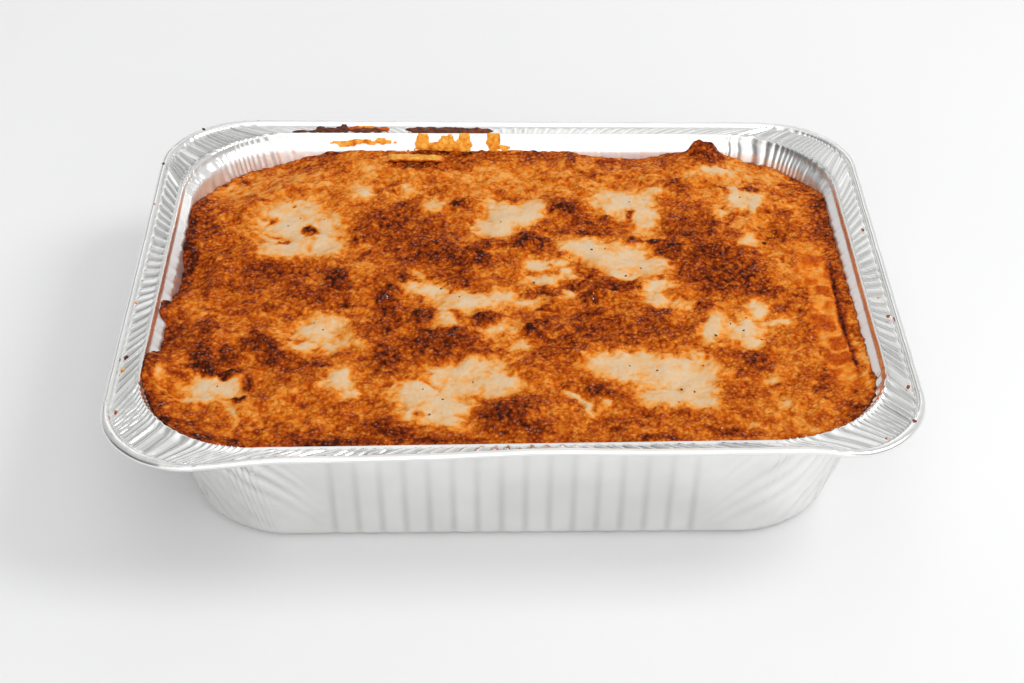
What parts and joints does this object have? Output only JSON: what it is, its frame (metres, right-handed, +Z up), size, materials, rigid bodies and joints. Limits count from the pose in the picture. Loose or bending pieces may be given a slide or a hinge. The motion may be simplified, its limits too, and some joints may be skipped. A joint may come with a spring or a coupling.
{
  "type": "foil tray meal",
  "caption": "Baked lasagne with a browned cheese crust, filling a rectangular aluminium foil tray with fluted walls and a rolled rim.",
  "frame": {"origin": "middle of the tray's footprint, on the surface it stands on", "axes": "+X along the tray's long sides, +Y away from the side that faces the viewer, +Z up"},
  "size_m": [0.324, 0.264, 0.0683],
  "materials": {
    "foil": "bright rolled foil, satin",
    "crust": "baked cheese and sauce, orange brown with pale and charred patches, slightly oily"
  },
  "bodies": {
    "root": {"foil_tray": "foil", "lasagne": "crust"}
  },
  "joints": []
}
